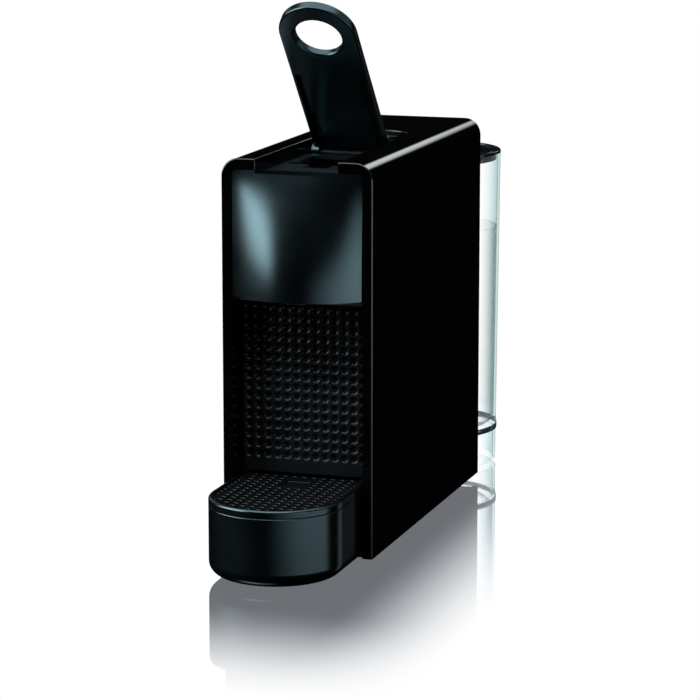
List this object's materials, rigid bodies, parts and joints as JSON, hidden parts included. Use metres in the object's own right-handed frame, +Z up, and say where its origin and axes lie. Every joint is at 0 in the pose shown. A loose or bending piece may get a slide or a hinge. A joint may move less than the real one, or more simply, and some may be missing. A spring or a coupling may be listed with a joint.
{
  "type": "pod coffee machine",
  "caption": "Slim upright pod coffee machine with a raised lever over the pod slot, a head over a cup space, a pull-out drip tray with capsule container, and a round lift-off water tank behind.",
  "frame": {"origin": "on the table, under the middle of the machine's box", "axes": "+Z up, +Y from the cup side to the tank, +X across"},
  "size_m": [0.079, 0.3444, 0.2804],
  "materials": {
    "casing_gloss": "piano black, high gloss",
    "satin_black": "fine satin",
    "matte_black": "fine matt texture",
    "inner_grey": "plain moulded",
    "clear_tank": "clear, polished",
    "lid_smoke": "satin dark grey",
    "steel": "plain",
    "zinc": "zinc plated",
    "heater_cast": "as cast",
    "silicone": "plain",
    "rubber_black": "plain",
    "board_green": "solder mask",
    "component_mix": "plain",
    "coil_yellow": "taped winding",
    "valve_blue": "plain"
  },
  "bodies": {
    "casing": {"outer_shell": "casing_gloss", "base_plate": "matte_black", "rear_cover": "matte_black", "cord_inlet": "rubber_black", "cover_screws": "zinc", "rubber_feet": "rubber_black", "chassis": "inner_grey", "head_cover": "satin_black", "channel_floor": "satin_black", "button_panel": "satin_black", "coffee_spout": "matte_black", "small_button_pad": "silicone", "large_button_pad": "silicone", "button_board": "board_green", "brew_frame": "inner_grey", "pod_cage": "matte_black", "pierce_blades": "steel", "cage_seal": "silicone", "pump_core": "valve_blue", "pump_coil": "coil_yellow", "pump_dampers": "rubber_black", "heater_block": "heater_cast", "heater_mounts": "silicone", "thermal_fuse": "component_mix", "flow_meter": "valve_blue", "tank_hose": "silicone", "pump_hose": "silicone", "heater_hose": "silicone", "brew_hose": "silicone", "dock_inlet": "valve_blue", "dock_seal": "silicone", "control_board": "board_green", "board_standoffs": "component_mix", "board_components": "component_mix"},
    "lever": {"lever": "satin_black", "lever_plate": "matte_black", "lever_axle": "steel", "crank_arms": "steel", "crank_pins": "steel"},
    "brew_slide": {"brew_slide": "matte_black", "extraction_plate": "steel"},
    "small_button": {"small_cup_button": "satin_black"},
    "large_button": {"large_cup_button": "satin_black"},
    "tank": {"water_tank": "clear_tank", "tank_valve": "valve_blue"},
    "tank_lid": {"tank_lid": "lid_smoke"},
    "drawer": {"drip_base": "satin_black", "drip_rim": "satin_black", "capsule_container": "matte_black"},
    "grid": {"drip_grid": "satin_black"}
  },
  "joints": [
    {"name": "lever_hinge", "type": "hinge", "parent": "casing", "child": "lever", "pos_m": [0, -0.0189, 0.1965], "axis": [1, 0, 0], "range_deg": [0, 48.9]},
    {"name": "brew_slide_travel", "type": "slide", "parent": "casing", "child": "brew_slide", "axis": [0, 1, 0], "range_m": [0, 0.03642]},
    {"name": "small_button_press", "type": "slide", "parent": "casing", "child": "small_button", "axis": [0, 0, -1], "range_m": [0, 0.0013], "stiffness_N_per_m": 150, "deforming": ["small_button_pad"]},
    {"name": "large_button_press", "type": "slide", "parent": "casing", "child": "large_button", "axis": [0, 0, -1], "range_m": [0, 0.0013], "stiffness_N_per_m": 150, "deforming": ["large_button_pad"]},
    {"name": "tank_lift", "type": "slide", "parent": "casing", "child": "tank", "axis": [0, 0, 1], "range_m": [0, 0.06]},
    {"name": "lid_lift", "type": "slide", "parent": "tank", "child": "tank_lid", "axis": [0, 0, 1], "range_m": [0, 0.03]},
    {"name": "drawer_slide", "type": "slide", "parent": "casing", "child": "drawer", "axis": [0, -1, 0], "range_m": [0, 0.08]},
    {"name": "grid_lift", "type": "slide", "parent": "drawer", "child": "grid", "axis": [0, 0, 1], "range_m": [0, 0.03]}
  ],
  "couplings": [
    {"joint": "brew_slide_travel", "follows": "lever_hinge", "m_per_rad": 0.042677}
  ]
}
